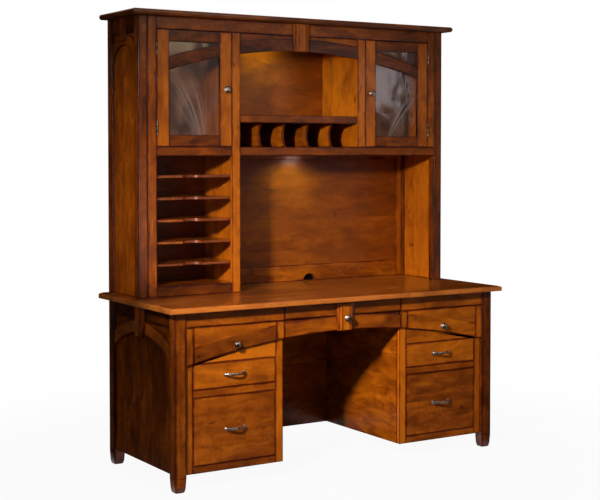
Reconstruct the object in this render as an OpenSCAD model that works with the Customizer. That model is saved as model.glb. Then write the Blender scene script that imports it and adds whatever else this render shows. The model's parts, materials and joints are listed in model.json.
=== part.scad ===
// Executive desk with hutch. X to the right as seen from the front, front
// towards -Y, Z up. Origin on the floor under the middle of the desktop.

/* [Desktop] */
// width of the desktop
top_w = 1727; // [1500:1:1950]
// depth of the desktop
top_d = 724; // [680:1:800]
// height of the desktop above the floor
desk_h = 762; // [740:1:800]
// thickness of the desktop board
top_t = 25; // [18:1:32]
// width of the sloped border on the desktop
bevel_w = 20; // [8:1:30]
// drop of the sloped border
bevel_h = 5; // [2:0.5:10]
// overhang of the desktop past the legs at the sides
over_side = 33.5; // [25:0.5:45]
// overhang of the desktop past the legs at front and back
over_front = 36; // [28:1:48]

/* [Legs and pedestals] */
// width of a square leg
leg_w = 54; // [46:1:62]
// chamfer on the long edges of legs and posts
edge_c = 4; // [1:0.5:6]
// height of the shaped foot
foot_h = 60; // [40:1:64]
// width of the foot where it meets the floor
foot_w = 38; // [30:1:44]
// clear height under the pedestals
ped_z = 68; // [66:1:90]
// half width of the kneehole
knee_x = 308; // [270:1:340]
// setback of the face frame behind the leg fronts
frame_set = 17; // [12:1:24]
// thickness of the face frame boards
frame_t = 20; // [16:1:24]
// width of the face frame stiles
stile_w = 36; // [28:1:44]
// thickness of the raised arch pieces
raise_t = 11; // [8:0.5:14]
// thickness of case boards
board_t = 18; // [14:1:22]
// thickness of the back panels
back_t = 12; // [8:1:16]
// setback of the desk back behind the leg backs
back_set = 20; // [12:1:34]
// gap round drawers and doors
gap = 2; // [1.5:0.25:3]

/* [Drawer heights] */
// height of the bottom rail
rail_bot_h = 30; // [20:1:40]
// height from the file drawer fronts up to the low end of the front arch
file_h = 145.6; // [134:0.2:186]
// height of the rail over the file drawer
rail_mid_h = 31; // [20:1:34]
// height of the second drawer front
second_h = 105; // [90:1:110]
// underside of the top rails, down from the underside of the desktop
rail_top_z = 62; // [57:1:69]
// front arch at the middle of the desk, down from the underside of the desktop
arch_z = 125; // [117:1:133]
// radius of the front arch
arch_r = 3160; // [2900:10:4200]
// width of the arched band in front of the centre drawer
band_w = 66; // [40:1:66]

/* [Drawer boxes] */
// thickness of the drawer box sides
box_t = 12; // [10:1:15]
// thickness of the drawer box bottoms
box_floor = 8; // [6:1:10]
// side clearance between drawer box and frame opening
box_side = 6; // [4:1:10]
// free length behind the pedestal drawer boxes
box_len = 31; // [27:1:103]
// length of the centre drawer box
center_len = 500; // [400:1:520]
// lift of the file box over the lower edge of its front
file_lift = 15; // [10:1:30]
// drop of the file box's rim below the upper edge of its front
file_rim = 35; // [20:1:60]
// lift of the second box over the lower edge of its front
second_lift = 10; // [8:1:20]
// drop of the second box's rim below the upper edge of its front
second_rim = 12; // [8:1:24]
// drop of the top box's rim below the upper edge of its front
top_rim = 10; // [8:1:20]
// lift of the centre box over the middle of the front arch
center_lift = 13; // [10:1:24]
// running gap over the runners
run_gap = 0.3; // [0.2:0.1:0.6]
// thickness of the runners
run_t = 14; // [10:1:15]
// width of a runner under the box side
run_lap = 12; // [8:1:20]

/* [Side arches of the desk] */
// thickness of the recessed side panels
panel_t = 12; // [8:1:16]
// setback of rails and arches behind the leg sides
side_set = 3; // [1:0.5:6]
// thickness of side rails and side arches
side_t = 9; // [6:1:12]
// underside of the side top rail, down from the underside of the desktop
side_rail_z = 63; // [47:1:77]
// inner radius of the side arch
side_arch_r = 496; // [470:1:560]
// width of the side arch
side_arch_w = 56; // [40:1:56]

/* [Keystones] */
// width of a keystone at its upper end
key_top = 98; // [80:1:110]
// width of a keystone at its lower end
key_bot = 76; // [60:1:80]
// thickness of a keystone
key_t = 16; // [12:1:17]
// width of the keystones on the hutch sides at the upper end
hkey_top = 64; // [50:1:80]
// width of the keystones on the hutch sides at the lower end
hkey_bot = 52; // [40:1:60]
// height of the hutch side keystones
hkey_h = 105; // [80:1:120]
// height of the desk side keystones
skey_h = 131; // [100:1:140]

/* [Hutch] */
// width over the hutch posts
hutch_w = 1632; // [1500:1:1700]
// setback of the hutch back from the desktop's back edge
hutch_back_set = 5; // [0:1:20]
// depth of the hutch case
hutch_d = 319; // [280:1:340]
// overall height
total_h = 1997; // [1900:1:2100]
// thickness of the crown board
crown_t = 24; // [18:1:30]
// overhang of the crown at front and sides
crown_over = 37; // [20:1:45]
// width of a hutch post
post_w = 45; // [38:1:52]
// width of the stiles beside the posts
hstile_w = 41; // [30:1:50]
// width of the divider stiles
dstile_w = 42; // [34:1:50]
// half width of the middle bay
bay_x = 318; // [290:1:350]
// thickness of the hutch face boards
face_t = 20; // [16:1:24]
// thickness of the hutch case boards
hboard_t = 20; // [16:1:22]
// height of the top rail
hrail_top_h = 55; // [40:1:70]
// height of the door openings
door_open_h = 507; // [460:1:540]
// height of the middle rail
hrail_mid_h = 39; // [30:1:48]
// height of the bottom rail under the cubbies
hrail_bot_h = 45; // [30:1:60]
// clear height of the pigeonholes
pigeon_h = 109; // [90:1:130]
// height of the pigeonhole shelf's front edge
pigeon_edge = 35; // [22:1:45]
// number of pigeonhole dividers
pigeon_n = 4; // [2:1:6]
// thickness of a pigeonhole divider
pigeon_t = 10; // [6:1:14]
// depth of the scallop in the dividers' front edge
scallop = 27; // [10:1:40]
// number of thin cubby shelves
cubby_n = 5; // [3:1:7]
// thickness of a cubby shelf
cubby_t = 12; // [8:1:16]
// width of the finger scoop in a cubby shelf
scoop_w = 100; // [60:1:140]
// depth of the finger scoop
scoop_d = 40; // [20:1:60]
// radius of the cable notch
notch_r = 32; // [20:1:40]
// thickness of the bay's back frame
bframe_t = 10; // [6:1:14]
// width of the back frame's upright boards
bframe_side = 32; // [20:1:50]
// height of the back frame's lower board
bframe_bot = 78; // [50:1:100]
// height of the back frame's upper board
bframe_top = 40; // [25:1:60]

/* [Hutch arches] */
// hutch arch at the middle, down from the underside of the crown
harch_z = 126; // [113:1:138]
// radius of the hutch arch
harch_r = 2200; // [2000:10:3000]
// width of the hutch arch band
harch_w = 57; // [40:1:57]
// inner radius of the arches on the hutch sides
hside_r = 121; // [116:1:150]
// width of the arches on the hutch sides
hside_w = 50; // [30:1:50]
// height of the top rail on the hutch sides
hside_rail_h = 71; // [50:1:71]

/* [Doors] */
// width of the door stiles
door_stile = 58; // [45:1:70]
// height of the door rails
door_rail = 50; // [40:1:60]
// thickness of the arched door bar
door_bar_t = 8; // [6:0.5:9]
// thickness of the glass
glass_t = 4; // [3:0.5:5]
// cover of the glass by the frame
glass_lap = 6; // [4:0.5:10]
// length of a hinge
hinge_l = 64; // [50:1:76]
// radius of a hinge barrel
hinge_r = 4; // [3:0.25:5]
// distance from the door's edge to a hinge's middle
hinge_in = 80; // [60:1:120]

/* [Fittings] */
// radius of a knob
knob_r = 16; // [12:0.5:19]
// projection of a knob
knob_l = 25; // [20:1:26]
// distance from the top rail down to the top drawer knobs
knob_drop = 85; // [70:1:95]
// distance between the feet of a pull
pull_c = 86; // [76:1:110]
// radius of a pull's bar
pull_r = 4.5; // [3.5:0.25:6]
// height of a pull's bow over its ends
pull_bow = 17; // [12:1:24]
// radius of a pull's foot
pull_foot_r = 9; // [6:0.5:12]
// projection of a pull's foot
pull_foot_l = 10; // [8:1:14]
// radius of a puck light
puck_r = 34; // [25:1:40]
// height of a puck light
puck_h = 12; // [8:1:16]
// place of the upper puck light, left of the middle
puck_left = 50; // [0:1:120]
// place of the lower puck light, right of the middle
puck_right = 130; // [0:1:180]
// distance from the hutch back to the middle of a puck light
puck_back = 75; // [50:1:100]

/* [Hidden] */
// height of an arch of radius r at a distance x from its middle, which is at z0
function arch_at(x, z0, r) = z0 - r + sqrt(r * r - x * x);

// desk
under = desk_h - top_t;
leg_x = top_w / 2 - over_side;
leg_y = top_d / 2 - over_front;
leg_in_x = leg_x - leg_w;
leg_in_y = leg_y - leg_w;
face_y = -leg_y + frame_set;
frame_back = face_y + frame_t;
over_y = face_y - raise_t;
stile_in = knee_x + stile_w;
stile_out = leg_in_x - stile_w;
back_face = leg_y - back_set - back_t;
front_in = stile_in + gap;
front_out = stile_out - gap;
rail_top = under - rail_top_z;
arch_mid = under - arch_z;
file_z = ped_z + rail_bot_h + gap;
file_top = arch_at(front_out, arch_mid, arch_r) - file_h;
mid_rail_z = file_top + gap;
second_z = mid_rail_z + rail_mid_h + gap;
arch_rail_z = second_z + second_h + gap;
top_box_z = arch_at(stile_in, arch_mid, arch_r);
box_in = stile_in + box_side;
box_out = stile_out - box_side;
front_top_z = rail_top - 2 * gap;
drawer_mid = (stile_in + stile_out) / 2;
top_front_t = 20;
top_back = over_y + top_front_t;
center_front_x = knee_x - gap - 1;
center_z = arch_mid + center_lift;
center_top = under - 6;
box_back = back_face - box_len;
center_back_t = 12;
center_box_x = knee_x - board_t + 8;
side_rail = under - side_rail_z;
side_plane = leg_x - side_set;
panel_out = side_plane - side_t;
panel_in = panel_out - panel_t;
// hutch
post_x = hutch_w / 2;
post_in = post_x - post_w;
hy1 = top_d / 2 - hutch_back_set;
hy0 = hy1 - hutch_d;
htop = total_h - crown_t;
hrail_top_z = htop - hrail_top_h;
harch_mid = htop - harch_z;
door_z = hrail_top_z - door_open_h;
hrail_mid_z = door_z - hrail_mid_h;
hstile_in = post_in - hstile_w;
dstile_out = bay_x + dstile_w;
hface_back = hy0 + face_t;
hback_y = hy1 - 8;
hside_in = post_x - 22;
hpanel_out = hside_in + 10;
hplane = hpanel_out + 8;
hpost_y = hy0 + post_w;
hback_post_y = hy1 - post_w;
pigeon_top = door_z + pigeon_h;
bframe_y = hback_y - bframe_t;
// doors
door_w = hstile_in - dstile_out - 2 * gap - 1;
door_in = dstile_out + gap;
door_out = door_in + door_w;
door_h = door_open_h - 2 * gap;
door_bot = door_z + gap;
glass_in = door_in + door_stile;
glass_out = door_out - door_stile;
glass_y = hy0 + door_bar_t;
hinge_x = hstile_in - 0.8;
hinge_y = hy0 - hinge_r - 0.2;
hinge_leaf_t = 1.2;

module both() {
  children();
  mirror([1, 0, 0]) children();
}

// box from two corners
module bx(x0, x1, y0, y1, z0, z1) {
  translate([x0, y0, z0]) cube([x1 - x0, y1 - y0, z1 - z0]);
}

// plan outline of a post with its long edges chamfered
module post_plan(x0, x1, y0, y1, c) {
  polygon([
    [x0 + c, y0], [x1 - c, y0], [x1, y0 + c], [x1, y1 - c],
    [x1 - c, y1], [x0 + c, y1], [x0, y1 - c], [x0, y0 + c]
  ]);
}

module post(x0, x1, y0, y1, z0, z1, c) {
  translate([0, 0, z0]) linear_extrude(z1 - z0) post_plan(x0, x1, y0, y1, c);
}

// slab of arched outline in the front plane, between two curves
module arch_plate(xa, xb, y0, y1, z0, r, up, top) {
  n = 14;
  low = [for (i = [0:n]) let(x = xa + (xb - xa) * i / n) [x, arch_at(x, z0, r)]];
  high = [for (i = [n:-1:0]) let(x = xa + (xb - xa) * i / n)
    [x, top > 0 ? top : arch_at(x, z0, r) + up]];
  translate([0, y1, 0]) rotate([90, 0, 0]) linear_extrude(y1 - y0) polygon(concat(low, high));
}

// ring segment in the side plane, between two posts
module side_arch(xa, xb, yc, half, zc, r, w) {
  n = 16;
  a = asin(half / r);
  b = asin(half / (r + w));
  low = [for (i = [-n:n]) [yc + r * sin(a * i / n), zc + r * cos(a * i / n)]];
  high = [for (i = [n:-1:-n]) [yc + (r + w) * sin(b * i / n), zc + (r + w) * cos(b * i / n)]];
  translate([xa, 0, 0]) rotate([90, 0, 90]) linear_extrude(xb - xa) polygon(concat(low, high));
}

// keystone standing on the plane y = 0, widening upwards, front faceted
module keystone(wt, wb, h, t) {
  intersection() {
    rotate([90, 0, 0]) linear_extrude(t + 1) polygon([
      [-wb / 2, 0], [wb / 2, 0], [wt / 2, h], [-wt / 2, h]
    ]);
    linear_extrude(h) polygon([
      [-wt / 2, 0], [-wt / 2, -t * 0.3], [-wt * 0.34, -t * 0.78], [-wt * 0.2, -t],
      [wt * 0.2, -t], [wt * 0.34, -t * 0.78], [wt / 2, -t * 0.3], [wt / 2, 0]
    ]);
  }
}

// knob with its foot on the plane y = 0
module knob() {
  neck = knob_r * 0.42;
  dome = knob_r * 0.45;
  pts = [for (i = [0:8]) [knob_r * cos(i * 90 / 8), knob_l - dome + dome * sin(i * 90 / 8)]];
  rotate([90, 0, 0]) rotate_extrude($fn = 48) polygon(concat(
    [[0, 0], [knob_r * 0.62, 0], [knob_r * 0.6, 2.5], [neck, 5], [neck, knob_l - dome - 5],
     [knob_r * 0.9, knob_l - dome - 2.5]],
    [for (i = [0:7]) pts[i]], [[0, knob_l]]
  ));
}

// bowed pull, feet on the plane y = 0
module pull() {
  half = pull_c / 2;
  r = (half * half + pull_bow * pull_bow) / (2 * pull_bow);
  a = asin(half / r);
  translate([0, -(pull_foot_l - 4) + r * cos(a), 0]) rotate([0, 0, -90 - a])
    rotate_extrude(angle = 2 * a, $fn = 96) translate([r, 0]) circle(r = pull_r, $fn = 24);
  for (s = [-1, 1])
    translate([s * half, 0, 0]) rotate([90, 0, 0]) {
      cylinder(r = pull_foot_r, h = pull_foot_l - 3, $fn = 40);
      cylinder(r = pull_foot_r * 0.72, h = pull_foot_l, $fn = 40);
    }
}

// open drawer box
module drawer_box(x0, x1, y0, y1, z0, z1) {
  difference() {
    bx(x0, x1, y0, y1, z0, z1);
    bx(x0 + box_t, x1 - box_t, y0 + box_t, y1 - box_t, z0 + box_floor, z1 + 1);
  }
}

module desktop() {
  color([0.42, 0.2, 0.1]) hull() {
    bx(-top_w / 2, top_w / 2, -top_d / 2, top_d / 2, under, desk_h - bevel_h);
    bx(-top_w / 2 + bevel_w, top_w / 2 - bevel_w, -top_d / 2 + bevel_w, top_d / 2,
       desk_h - bevel_h, desk_h);
  }
}

// foot as four stacked sections drawn together
module leg(sx, sy) {
  cx = sx * (leg_x - leg_w / 2);
  cy = sy * (leg_y - leg_w / 2);
  h = leg_w / 2;
  post(cx - h, cx + h, cy - h, cy + h, foot_h, under, edge_c);
  hull() for (s = [[h, foot_h, edge_c], [h - 2.5, 18, edge_c], [foot_w / 2 + 3, 4, 5],
                   [foot_w / 2, 0, 5]])
    translate([0, 0, s[1]]) linear_extrude(0.2)
      post_plan(cx - s[0], cx + s[0], cy - s[0], cy + s[0], s[2]);
}

module legs() {
  color([0.5, 0.25, 0.08]) for (sx = [-1, 1]) for (sy = [-1, 1]) leg(sx, sy);
}

module side_panels() {
  color([0.3, 0.14, 0.05]) both() bx(panel_in, panel_out, -leg_in_y, leg_in_y, ped_z, under);
}

module side_rails() {
  color([0.36, 0.17, 0.06]) both()
    bx(panel_out, side_plane, -leg_in_y, leg_in_y, side_rail, under);
}

module side_arches() {
  color([0.45, 0.2, 0.06]) both() side_arch(panel_out, side_plane, 0, leg_in_y,
    side_rail - side_arch_r - side_arch_w, side_arch_r, side_arch_w);
}

module side_keystones() {
  color([0.5, 0.25, 0.1]) {
    both() translate([side_plane, 0, under - skey_h]) rotate([0, 0, 90])
      keystone(key_top, key_bot, skey_h, key_t);
    both() translate([hplane, (hy0 + hy1) / 2, htop - hkey_h]) rotate([0, 0, 90])
      keystone(hkey_top, hkey_bot, hkey_h, key_t * 0.6);
  }
}

module inner_sides() {
  color([0.5, 0.26, 0.08]) both()
    bx(knee_x, knee_x + board_t, frame_back, back_face, ped_z, under);
}

module pedestal_floors() {
  color([0.4, 0.2, 0.08]) both() difference() {
    bx(knee_x + board_t, panel_in, frame_back, back_face, ped_z, ped_z + board_t);
    bx(leg_in_x, leg_x, -leg_y, -leg_in_y, ped_z - 1, ped_z + board_t + 1);
    bx(leg_in_x, leg_x, leg_in_y, leg_y, ped_z - 1, ped_z + board_t + 1);
  }
}

module desk_back() {
  color([0.35, 0.18, 0.07]) bx(-leg_in_x, leg_in_x, back_face, back_face + back_t, ped_z, under);
}

module frame_stiles() {
  color([0.6, 0.3, 0.08]) both() {
    bx(knee_x, stile_in, face_y, frame_back, ped_z, under);
    bx(stile_out, leg_in_x, face_y, frame_back, ped_z, under);
  }
}

module frame_rails() {
  color([0.66, 0.34, 0.08]) both() {
    bx(stile_in, stile_out, face_y, frame_back, ped_z, ped_z + rail_bot_h);
    bx(stile_in, stile_out, face_y, frame_back, mid_rail_z, mid_rail_z + rail_mid_h);
    // rail under the top drawer, cut to the arch
    difference() {
      bx(stile_in, stile_out, face_y, frame_back, arch_rail_z, rail_top);
      arch_plate(knee_x, leg_in_x, face_y - 2, frame_back + 1, arch_mid - gap, arch_r, 0,
                 rail_top + 1);
    }
    // top rail with its raised face
    bx(stile_in, stile_out, face_y, frame_back, rail_top, under);
    bx(knee_x, leg_in_x, over_y, face_y, rail_top, under);
  }
}

module arch_blocks() {
  color([0.7, 0.38, 0.1]) both() {
    arch_plate(knee_x, stile_in - gap, over_y, face_y, arch_mid, arch_r, 0, front_top_z);
    arch_plate(stile_out + gap, leg_in_x, over_y, face_y, arch_mid, arch_r, 0, front_top_z);
  }
}

// pair of runners under a drawer box, seated on the case at both sides
module runner_pair(z) {
  bx(knee_x + board_t, box_in + run_lap, frame_back, back_face, z - run_gap - run_t, z - run_gap);
  bx(box_out - run_lap, leg_in_x, frame_back, back_face, z - run_gap - run_t, z - run_gap);
}

module runners() {
  color([0.75, 0.65, 0.45]) both() {
    runner_pair(file_z + file_lift);
    runner_pair(second_z + second_lift);
    runner_pair(top_box_z);
    bx(center_box_x - run_lap, knee_x, frame_back, back_face, center_z - run_gap - run_t,
       center_z - run_gap);
  }
}

module top_front() {
  arch_plate(front_in, front_out, over_y, top_back, arch_mid, arch_r, 0, front_top_z);
}

module top_box() {
  drawer_box(box_in, box_out, top_back, box_back, top_box_z, front_top_z - top_rim);
}

module top_knob() {
  translate([drawer_mid, over_y, rail_top - knob_drop]) knob();
}

module second_front() {
  bx(front_in, front_out, face_y, frame_back, second_z, second_z + second_h);
}

module second_box() {
  drawer_box(box_in, box_out, frame_back, box_back, second_z + second_lift,
             second_z + second_h - second_rim);
}

module second_pull() {
  translate([drawer_mid, face_y, second_z + second_h / 2]) pull();
}

module file_front() {
  bx(front_in, front_out, face_y, frame_back, file_z, file_top);
}

module file_box() {
  drawer_box(box_in, box_out, frame_back, box_back, file_z + file_lift, file_top - file_rim);
}

module file_pull() {
  translate([drawer_mid, face_y, (file_z + file_top) / 2]) pull();
}

module top_left_front() { color([0.62, 0.3, 0.07]) mirror([1, 0, 0]) top_front(); }
module top_left_box() { color([0.8, 0.7, 0.5]) mirror([1, 0, 0]) top_box(); }
module top_left_knob() { color([0.7, 0.7, 0.72]) mirror([1, 0, 0]) top_knob(); }
module top_right_front() { color([0.62, 0.3, 0.07]) top_front(); }
module top_right_box() { color([0.8, 0.7, 0.5]) top_box(); }
module top_right_knob() { color([0.7, 0.7, 0.72]) top_knob(); }
module second_left_front() { color([0.7, 0.35, 0.08]) mirror([1, 0, 0]) second_front(); }
module second_left_box() { color([0.8, 0.7, 0.5]) mirror([1, 0, 0]) second_box(); }
module second_left_pull() { color([0.7, 0.7, 0.72]) mirror([1, 0, 0]) second_pull(); }
module second_right_front() { color([0.7, 0.35, 0.08]) second_front(); }
module second_right_box() { color([0.8, 0.7, 0.5]) second_box(); }
module second_right_pull() { color([0.7, 0.7, 0.72]) second_pull(); }
module file_left_front() { color([0.68, 0.33, 0.07]) mirror([1, 0, 0]) file_front(); }
module file_left_box() { color([0.8, 0.7, 0.5]) mirror([1, 0, 0]) file_box(); }
module file_left_pull() { color([0.7, 0.7, 0.72]) mirror([1, 0, 0]) file_pull(); }
module file_right_front() { color([0.68, 0.33, 0.07]) file_front(); }
module file_right_box() { color([0.8, 0.7, 0.5]) file_box(); }
module file_right_pull() { color([0.7, 0.7, 0.72]) file_pull(); }

// centre drawer: back board, raised strip and raised arched band
module center_front() {
  color([0.65, 0.32, 0.07]) {
    arch_plate(-center_front_x, center_front_x, face_y, face_y + center_back_t,
               arch_mid + 2 * gap, arch_r, 0, center_top);
    bx(-center_front_x, center_front_x, over_y, face_y, rail_top + gap, center_top);
    arch_plate(-center_front_x, center_front_x, over_y, face_y, arch_mid, arch_r,
               band_w - 2 * gap, 0);
  }
}

module center_keystone() {
  color([0.7, 0.36, 0.1]) translate([0, over_y, arch_mid - 1])
    keystone(key_top, key_bot, center_top - arch_mid + 1, key_t);
}

module center_box() {
  color([0.8, 0.7, 0.5]) drawer_box(-center_box_x, center_box_x, face_y + center_back_t,
    face_y + center_back_t + center_len, center_z, center_top - second_rim);
}

module center_knob() {
  color([0.7, 0.7, 0.72])
    translate([0, over_y - key_t, (arch_mid + center_top) / 2 - 6]) knob();
}

// crown board with a rounded front and sides
module crown() {
  c = crown_t / 2;
  color([0.35, 0.2, 0.12]) hull() for (i = [-4:4]) let(a = i * 22.5, s = c * 0.8 * (1 - cos(a)))
    translate([-post_x - crown_over + s, hy0 - crown_over + s, htop + c + (c - 0.1) * sin(a) - 0.1])
      cube([2 * (post_x + crown_over - s), hutch_d + crown_over - s + hutch_back_set * 0.6, 0.2]);
}

module hutch_posts() {
  color([0.45, 0.22, 0.1]) both() {
    post(post_in, post_x, hy0, hpost_y, desk_h, htop, edge_c);
    post(hside_in, post_x, hback_post_y, hy1, desk_h, htop, edge_c * 0.5);
  }
}

module hutch_side_panels() {
  color([0.4, 0.2, 0.06]) both()
    bx(hside_in, hpanel_out, hpost_y, hback_post_y, desk_h, htop);
}

module hutch_side_rails() {
  color([0.36, 0.17, 0.06]) both()
    bx(hpanel_out, hplane, hpost_y, hback_post_y, htop - hside_rail_h, htop);
}

module hutch_side_arches() {
  color([0.3, 0.14, 0.06]) both() side_arch(hpanel_out, hplane, (hy0 + hy1) / 2,
    (hback_post_y - hpost_y) / 2, htop - hside_rail_h - hside_r - hside_w, hside_r, hside_w);
}

module hutch_rails() {
  color([0.42, 0.2, 0.09]) {
    bx(-hstile_in, hstile_in, hy0, hface_back, hrail_top_z, htop);
    bx(-hstile_in, -dstile_out, hy0, hface_back, hrail_mid_z, door_z);
    bx(-bay_x, post_in, hy0, hface_back, hrail_mid_z, door_z);
    bx(-hstile_in, -dstile_out, hy0, hface_back, desk_h, desk_h + hrail_bot_h);
  }
}

module hutch_stiles() {
  color([0.55, 0.27, 0.09]) {
    bx(-post_in, -hstile_in, hy0, hface_back, desk_h, htop);
    bx(hstile_in, post_in, hy0, hface_back, door_z, htop);
  }
}

// divider with its face stile, left one down to the desktop
module divider_left() {
  color([0.6, 0.3, 0.12]) {
    bx(-dstile_out, -bay_x, hy0, hface_back, desk_h, hrail_top_z);
    bx(-bay_x - hboard_t, -bay_x, hface_back, hback_y, desk_h, htop);
  }
}

module divider_right() {
  color([0.6, 0.3, 0.12]) {
    bx(bay_x, dstile_out, hy0, hface_back, door_z, hrail_top_z);
    bx(bay_x, bay_x + hboard_t, hface_back, hback_y, door_z, htop);
  }
}

// outline of a board that runs between the hutch sides, cut round the front posts
module case_board(x0, x1, z0, z1) {
  difference() {
    bx(x0, x1, hface_back, hback_y, z0, z1);
    both() bx(post_in, post_x, hy0, hpost_y, z0 - 1, z1 + 1);
  }
}

module middle_shelf() {
  color([0.45, 0.22, 0.1]) {
    case_board(-hside_in, -bay_x - hboard_t, door_z - hboard_t, door_z);
    case_board(-bay_x, hside_in, door_z - hboard_t, door_z);
  }
}

module pigeon_shelf() {
  color([0.48, 0.24, 0.12]) {
    bx(-bay_x, bay_x, hy0 + 6, hy0 + 6 + hboard_t, pigeon_top, pigeon_top + pigeon_edge);
    bx(-bay_x, bay_x, hy0 + 6 + hboard_t, hback_y, pigeon_top + pigeon_edge - hboard_t,
       pigeon_top + pigeon_edge);
  }
}

module pigeon_dividers() {
  top = pigeon_top + pigeon_edge - hboard_t;
  y0 = hface_back + hboard_t - 14;
  r = (pigeon_h * pigeon_h / 4 + scallop * scallop) / (2 * scallop);
  color([0.7, 0.35, 0.1]) for (i = [1:pigeon_n])
    let(x = -bay_x + 2 * bay_x * i / (pigeon_n + 1)) difference() {
      union() {
        bx(x - pigeon_t / 2, x + pigeon_t / 2, y0, hback_y, door_z, pigeon_top);
        bx(x - pigeon_t / 2, x + pigeon_t / 2, y0 + scallop, hback_y, door_z, top);
      }
      translate([x - pigeon_t, y0 + scallop - r, door_z + pigeon_h / 2]) rotate([0, 90, 0])
        cylinder(r = r, h = 2 * pigeon_t, $fn = 96);
    }
}

// thin shelves with a finger scoop, over a floor board
module cubby_shelves() {
  z0 = desk_h + hrail_bot_h;
  clear = (hrail_mid_z - z0 - cubby_n * cubby_t) / (cubby_n + 1);
  r = (scoop_w * scoop_w / 4 + scoop_d * scoop_d) / (2 * scoop_d);
  xm = -(hstile_in + dstile_out) / 2;
  color([0.55, 0.26, 0.09]) {
    for (i = [1:cubby_n]) let(z = z0 + i * (clear + cubby_t) - cubby_t) difference() {
      case_board(-hside_in, -bay_x - hboard_t, z, z + cubby_t);
      translate([xm, hface_back + scoop_d - r, z - 1]) cylinder(r = r, h = cubby_t + 2, $fn = 96);
    }
    case_board(-hside_in, -bay_x - hboard_t, z0 - hboard_t, z0);
  }
}

// arched valance: recessed board with a raised band
module valance() {
  color([0.35, 0.17, 0.1]) {
    arch_plate(-bay_x, bay_x, hy0 + face_t / 2, hface_back, harch_mid + 5, harch_r, 0,
               hrail_top_z);
    arch_plate(-bay_x, bay_x, hy0, hy0 + face_t / 2, harch_mid, harch_r, harch_w, 0);
  }
}

module hutch_keystone() {
  color([0.5, 0.26, 0.12]) translate([0, hy0, harch_mid - 3])
    keystone(key_top, key_bot, htop - harch_mid + 3, key_t);
}

module hutch_back() {
  color([0.5, 0.26, 0.08]) difference() {
    bx(-hside_in, hside_in, hback_y, hy1, desk_h, htop);
    translate([(hside_in - bay_x) / 2, hy1 + 1, desk_h]) rotate([90, 0, 0])
      cylinder(r = notch_r, h = 12, $fn = 64);
  }
}

// frame on the back of the open bay, with the cable notch
module bay_frame() {
  x0 = -bay_x;
  x1 = hside_in;
  z1 = door_z - hboard_t;
  color([0.42, 0.22, 0.08]) difference() {
    bx(x0, x1, bframe_y, hback_y, desk_h, z1);
    bx(x0 + bframe_side, x1 - bframe_side, bframe_y - 1, hback_y + 1, desk_h + bframe_bot,
       z1 - bframe_top);
    translate([(x0 + x1) / 2, hback_y + 1, desk_h]) rotate([90, 0, 0])
      cylinder(r = notch_r, h = bframe_t + 2, $fn = 64);
  }
}

module puck_lights() {
  color([0.9, 0.9, 0.85]) {
    translate([-puck_left, hback_y - puck_back, htop - puck_h])
      cylinder(r = puck_r, h = puck_h, $fn = 48);
    translate([puck_right, hback_y - puck_back, door_z - hboard_t - puck_h])
      cylinder(r = puck_r, h = puck_h, $fn = 48);
  }
}

// hinge barrels in front of the stiles, each with its leaf on the stile edge
module hinges() {
  color([0.6, 0.58, 0.55]) both()
    for (z = [door_bot + hinge_in, door_bot + door_h - hinge_in]) {
      translate([hinge_x, hinge_y, z - hinge_l / 2])
        cylinder(r = hinge_r, h = hinge_l, $fn = 32);
      bx(hstile_in - hinge_leaf_t, hstile_in, hinge_y, hface_back - 3,
         z - hinge_l / 2, z + hinge_l / 2);
    }
}

// right-hand door; the left one is its mirror image
module door_frame() {
  difference() {
    bx(door_in, door_out, hy0, hface_back, door_bot, door_bot + door_h);
    bx(glass_in, glass_out, hy0 - 1, hface_back + 1, door_bot + door_rail,
       door_bot + door_h - door_rail);
    bx(glass_in - glass_lap, glass_out + glass_lap, glass_y, hface_back + 1,
       door_bot + door_rail - glass_lap, door_bot + door_h - door_rail + glass_lap);
  }
  intersection() {
    arch_plate(glass_in - 2, glass_out + 2, hy0, glass_y, harch_mid, harch_r, harch_w, 0);
    bx(glass_in - 2, glass_out + 2, hy0 - 1, glass_y + 1, door_bot, door_bot + door_h - door_rail);
  }
}

module door_glass() {
  s = glass_lap - 0.3;
  bx(glass_in - s, glass_out + s, glass_y, glass_y + glass_t,
     door_bot + door_rail - s, door_bot + door_h - door_rail + s);
}

module door_knob() {
  translate([door_in + door_stile / 2, hy0, door_bot + door_h / 2]) knob();
}

module door_left_frame() { color([0.6, 0.3, 0.1]) mirror([1, 0, 0]) door_frame(); }
module door_left_glass() { color([0.7, 0.8, 0.8, 0.5]) mirror([1, 0, 0]) door_glass(); }
module door_left_knob() { color([0.7, 0.7, 0.72]) mirror([1, 0, 0]) door_knob(); }
module door_right_frame() { color([0.6, 0.3, 0.1]) door_frame(); }
module door_right_glass() { color([0.7, 0.8, 0.8, 0.5]) door_glass(); }
module door_right_knob() { color([0.7, 0.7, 0.72]) door_knob(); }

desktop();
legs();
side_panels();
side_rails();
side_arches();
side_keystones();
inner_sides();
pedestal_floors();
desk_back();
frame_stiles();
frame_rails();
arch_blocks();
runners();
top_left_front();
top_left_box();
top_left_knob();
top_right_front();
top_right_box();
top_right_knob();
second_left_front();
second_left_box();
second_left_pull();
second_right_front();
second_right_box();
second_right_pull();
file_left_front();
file_left_box();
file_left_pull();
file_right_front();
file_right_box();
file_right_pull();
center_front();
center_keystone();
center_box();
center_knob();
crown();
hutch_posts();
hutch_side_panels();
hutch_side_rails();
hutch_side_arches();
hutch_rails();
hutch_stiles();
divider_left();
divider_right();
middle_shelf();
pigeon_shelf();
pigeon_dividers();
cubby_shelves();
valance();
hutch_keystone();
hutch_back();
bay_frame();
puck_lights();
hinges();
door_left_frame();
door_left_glass();
door_left_knob();
door_right_frame();
door_right_glass();
door_right_knob();
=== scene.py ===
"""Looks of the executive desk with hutch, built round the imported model. Metres, row frame."""
import json
import math
import random

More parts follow.
